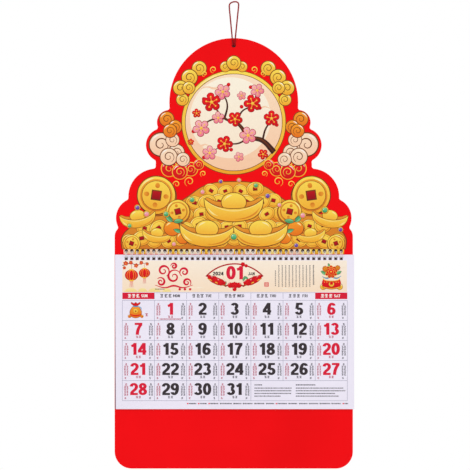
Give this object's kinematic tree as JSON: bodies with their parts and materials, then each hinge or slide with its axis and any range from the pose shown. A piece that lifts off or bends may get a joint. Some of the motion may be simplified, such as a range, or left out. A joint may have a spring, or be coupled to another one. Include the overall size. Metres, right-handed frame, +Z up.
{
  "type": "wall calendar",
  "caption": "Hanging wall calendar: die-cut card header and base in one board, month pages on a twin-loop wire that turn up over it, and a cord loop to hang it by.",
  "frame": {"origin": "where the cord's top run rests on the nail, on the middle line of the board", "axes": "+Z up, the printed front faces -Y, the wall is on the +Y side, +X to the right seen from the front"},
  "size_m": [0.3677, 0.012, 0.7189],
  "materials": {
    "printed_card": "gloss",
    "page_paper": "matte",
    "white_coated_wire": "satin",
    "red_cord": "matte"
  },
  "bodies": {
    "board": {"backing_board": "printed_card", "binding_wire": "white_coated_wire", "hanging_cord": "red_cord", "cord_knot": "red_cord"},
    "pages": {"month_pages": "page_paper"}
  },
  "joints": [
    {"name": "page_turn", "type": "hinge", "parent": "board", "child": "pages", "pos_m": [0, 0.0003, -0.3868], "axis": [-1, 0, 0], "range_deg": [0, 175]}
  ]
}
